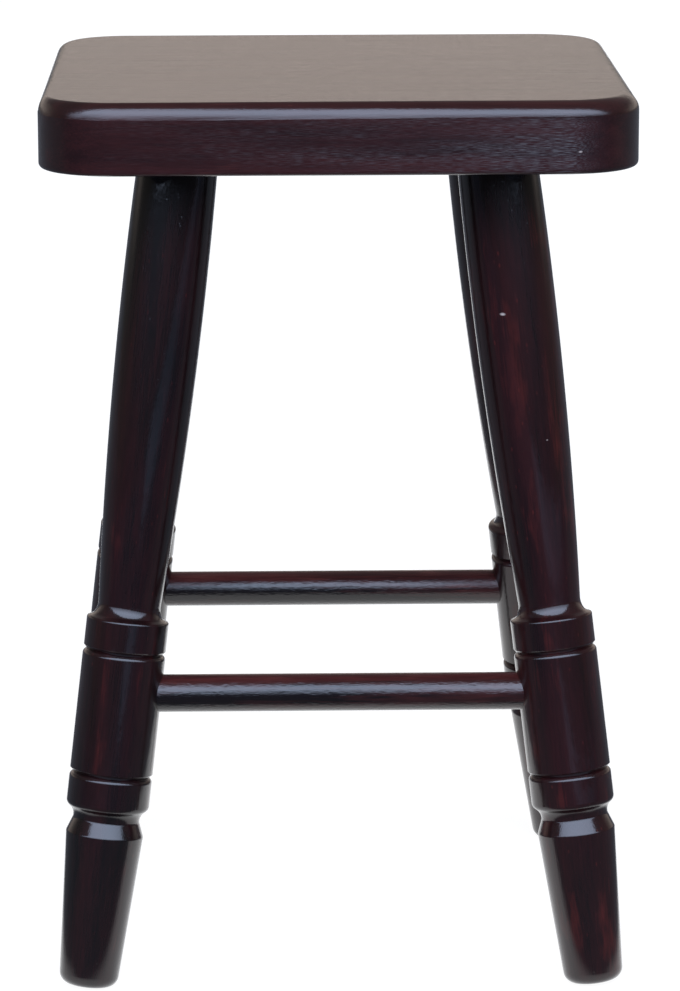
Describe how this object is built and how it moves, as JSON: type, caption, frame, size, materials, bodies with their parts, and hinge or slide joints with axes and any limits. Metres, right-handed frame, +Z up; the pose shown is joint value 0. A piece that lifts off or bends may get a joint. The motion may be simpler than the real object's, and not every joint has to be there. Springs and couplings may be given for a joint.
{
  "type": "stool",
  "caption": "Square wooden stool: a thick slab seat with rounded corners on splayed turned legs joined by round stretchers.",
  "frame": {"origin": "on the floor, under the middle of the seat", "axes": "+Z up; the front faces -Y and +X is to the right, seen from the front"},
  "size_m": [0.294, 0.294, 0.45],
  "materials": {
    "seat_wood": "dark mahogany stain under gloss lacquer",
    "turned_wood": "dark mahogany stain under gloss lacquer"
  },
  "bodies": {
    "root": {"seat_board_front": "seat_wood", "seat_board_middle": "seat_wood", "seat_board_back": "seat_wood", "leg_front_left": "turned_wood", "leg_front_right": "turned_wood", "leg_back_left": "turned_wood", "leg_back_right": "turned_wood", "stretcher_front": "turned_wood", "stretcher_back": "turned_wood", "stretcher_left": "turned_wood", "stretcher_right": "turned_wood"}
  },
  "joints": []
}
